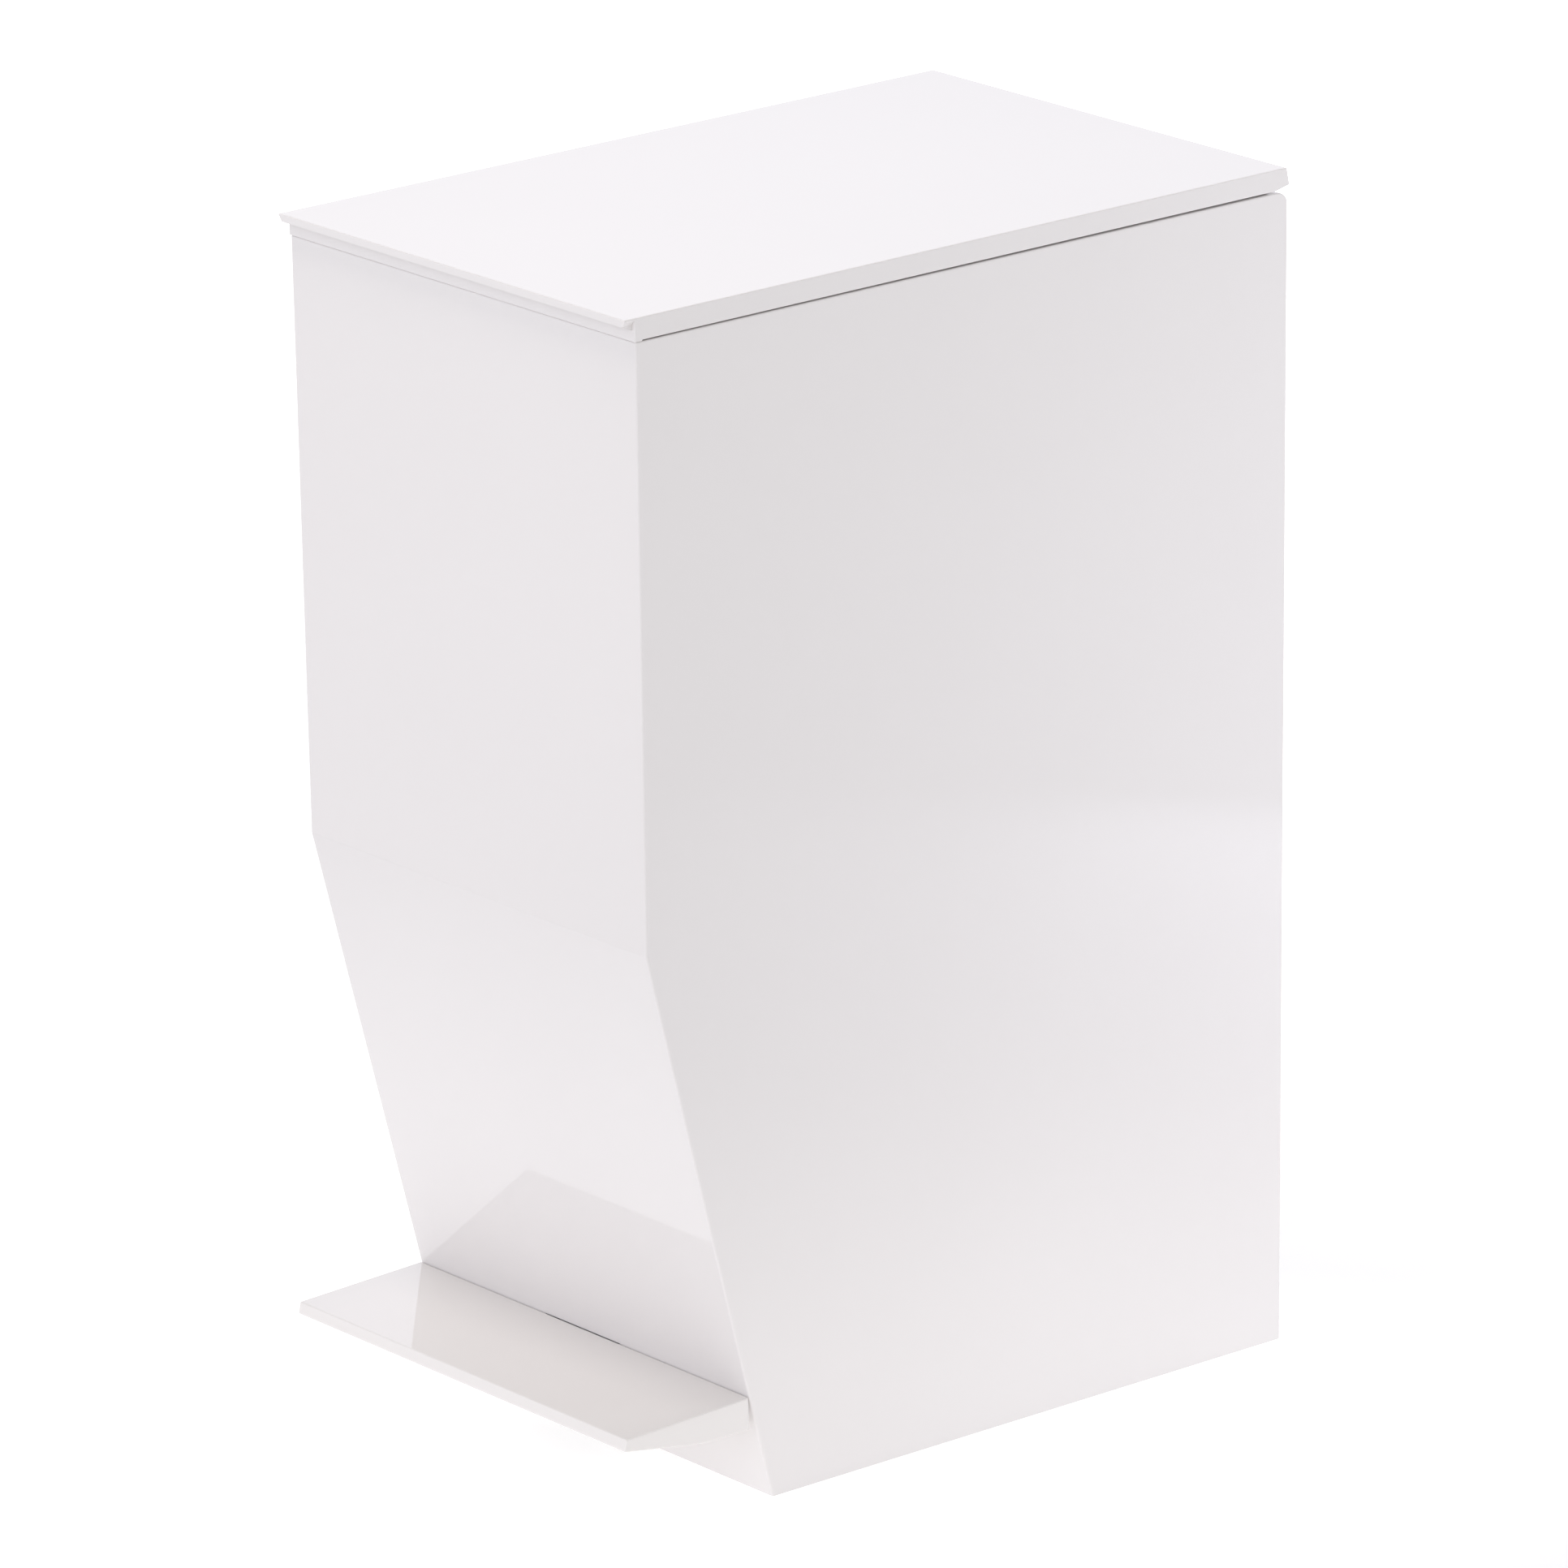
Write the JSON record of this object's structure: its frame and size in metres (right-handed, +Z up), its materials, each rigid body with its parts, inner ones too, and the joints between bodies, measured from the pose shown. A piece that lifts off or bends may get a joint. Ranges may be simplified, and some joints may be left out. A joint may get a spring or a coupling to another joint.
{
  "type": "pedal bin",
  "caption": "Slim rectangular pedal bin in glossy white plastic: flat lid with a front lip, slanted lower front, full-width pedal and a removable inner bucket.",
  "frame": {"origin": "on the floor, under the middle of the whole bin's box, pedal included", "axes": "+Z up, +Y towards the hinge at the back, +X to the right seen from the front (pedal side)"},
  "size_m": [0.164, 0.2614, 0.3731],
  "materials": {
    "shell_white": "glossy moulded white",
    "inner_white": "satin moulded white",
    "bucket_grey": "satin moulded light grey",
    "nylon": "natural nylon",
    "steel": "drawn wire, zinc plated",
    "rubber": "matt black"
  },
  "bodies": {
    "bin_body": {"outer_shell": "shell_white", "hinge_pin": "steel", "hinge_pin_plug": "shell_white", "rim_bumpers": "rubber", "lower_rod_guide": "nylon", "upper_rod_guide": "nylon", "guide_screws": "steel", "rod_cover": "inner_white", "cover_screws": "steel", "base_plate": "inner_white", "base_screws": "steel", "rubber_feet": "rubber", "pedal_axle": "steel", "axle_caps": "inner_white", "axle_cap_screws": "steel", "pedal_stop_pad": "rubber", "floor_panel": "inner_white", "floor_screws": "steel"},
    "lid": {"lid_cover": "shell_white", "lid_frame": "inner_white", "lid_screws": "steel", "cam_lever": "nylon", "cam_screws": "steel"},
    "pedal": {"pedal_plate": "shell_white", "pedal_lever": "inner_white", "pedal_screws": "steel", "pedal_bushes": "nylon"},
    "rod": {"lift_rod": "steel", "cam_shoe": "nylon", "rod_clip": "steel"},
    "bucket": {"inner_bucket": "bucket_grey"}
  },
  "joints": [
    {"name": "lid_hinge", "type": "hinge", "parent": "bin_body", "child": "lid", "pos_m": [0, 0.1261, 0.3616], "axis": [-1, 0, 0], "range_deg": [0, 80]},
    {"name": "pedal_press", "type": "hinge", "parent": "bin_body", "child": "pedal", "pos_m": [0, 0.00403, 0.025], "axis": [1, 0, 0], "range_deg": [0, 8]},
    {"name": "rod_lift", "type": "slide", "parent": "bin_body", "child": "rod", "axis": [0, 0, 1], "range_m": [0, 0.0155]},
    {"name": "bucket_lift", "type": "slide", "parent": "bin_body", "child": "bucket", "axis": [0, 0, 1], "range_m": [0, 0.01]}
  ],
  "couplings": [
    {"joint": "pedal_press", "follows": "lid_hinge", "ratio": 0.1},
    {"joint": "rod_lift", "follows": "lid_hinge", "m_per_rad": 0.0111}
  ]
}
